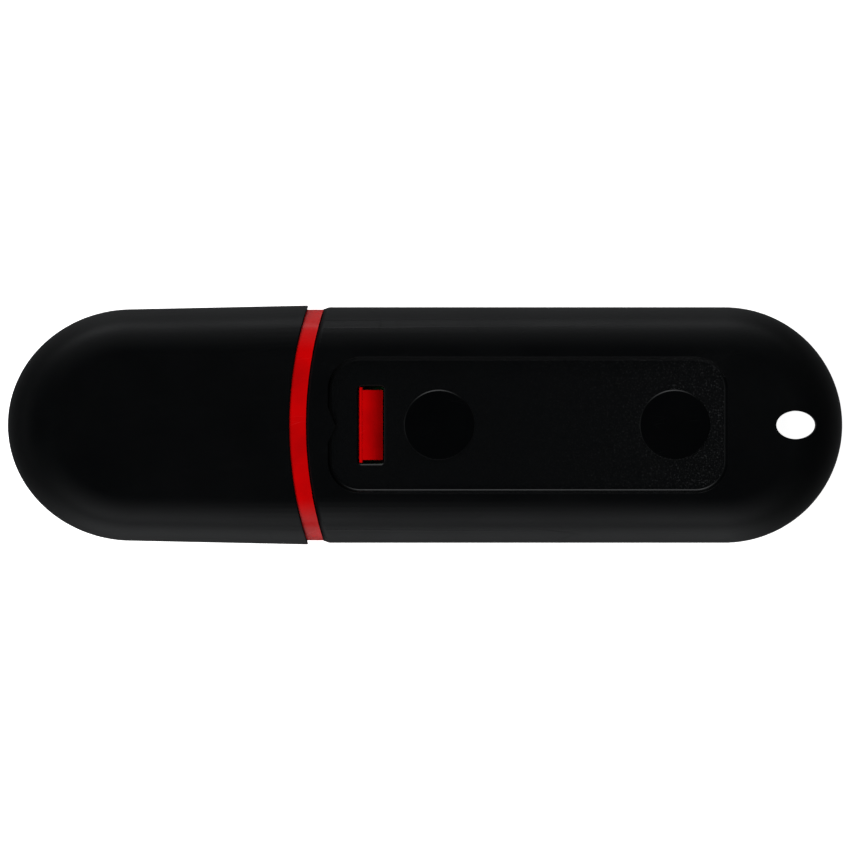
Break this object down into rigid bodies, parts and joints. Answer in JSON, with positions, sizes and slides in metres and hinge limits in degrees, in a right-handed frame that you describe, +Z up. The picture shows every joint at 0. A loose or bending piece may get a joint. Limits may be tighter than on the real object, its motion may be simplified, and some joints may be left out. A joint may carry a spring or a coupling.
{
  "type": "usb flash drive",
  "caption": "Capped flash drive with a standard-A plug: round-ended black case, red band, pull-off cap, sunk label recess with a snap window, and an oval lanyard hole.",
  "frame": {"origin": "middle of the capped outline in plan, on the surface that the drive lies on", "axes": "+X from the cap's nose to the lanyard hole, +Z up out of the face with the label recess"},
  "size_m": [0.0616, 0.0176, 0.0084],
  "materials": {
    "cap": "black satin ABS",
    "body_shell": "black satin ABS, fine texture in the label recess",
    "carrier": "red satin ABS",
    "plug_shell": "nickel-plated steel sheet",
    "plug_insulator": "black glass-filled nylon",
    "contacts": "gold-plated brass",
    "circuit_board": "green solder mask on glass-epoxy",
    "chip_moulding": "black moulded epoxy",
    "leads": "tin plate",
    "crystal_tray": "ceramic",
    "crystal_lid": "nickel plate",
    "led_base": "white epoxy laminate",
    "led_lens": "clear epoxy",
    "fuse_body": "green fuse polymer laminate",
    "capacitor_body": "tan ceramic",
    "resistor_body": "black coated ceramic",
    "solder_ends": "tin plate"
  },
  "bodies": {
    "drive": {"body_shell": "body_shell", "carrier_frame": "carrier", "plug_shell": "plug_shell", "plug_insulator": "plug_insulator", "contact_vbus": "contacts", "contact_data_minus": "contacts", "contact_data_plus": "contacts", "contact_ground": "contacts", "circuit_board": "circuit_board", "flash_chip": "chip_moulding", "flash_chip_leads": "leads", "controller_chip": "chip_moulding", "controller_leads": "leads", "crystal_base": "crystal_tray", "crystal_lid": "crystal_lid", "regulator_body": "chip_moulding", "regulator_leads": "leads", "esd_array_body": "chip_moulding", "esd_array_leads": "leads", "led_base": "led_base", "led_lens": "led_lens", "input_fuse_body": "fuse_body", "input_fuse_ends": "solder_ends", "bulk_capacitor_body": "capacitor_body", "bulk_capacitor_ends": "solder_ends", "capacitor_bodies": "capacitor_body", "capacitor_ends": "solder_ends", "resistor_bodies": "resistor_body", "resistor_ends": "solder_ends"},
    "cap": {"cap": "cap"}
  },
  "joints": [
    {"name": "cap_slide", "type": "slide", "parent": "drive", "child": "cap", "axis": [-1, 0, 0], "range_m": [0, 0.03]}
  ]
}
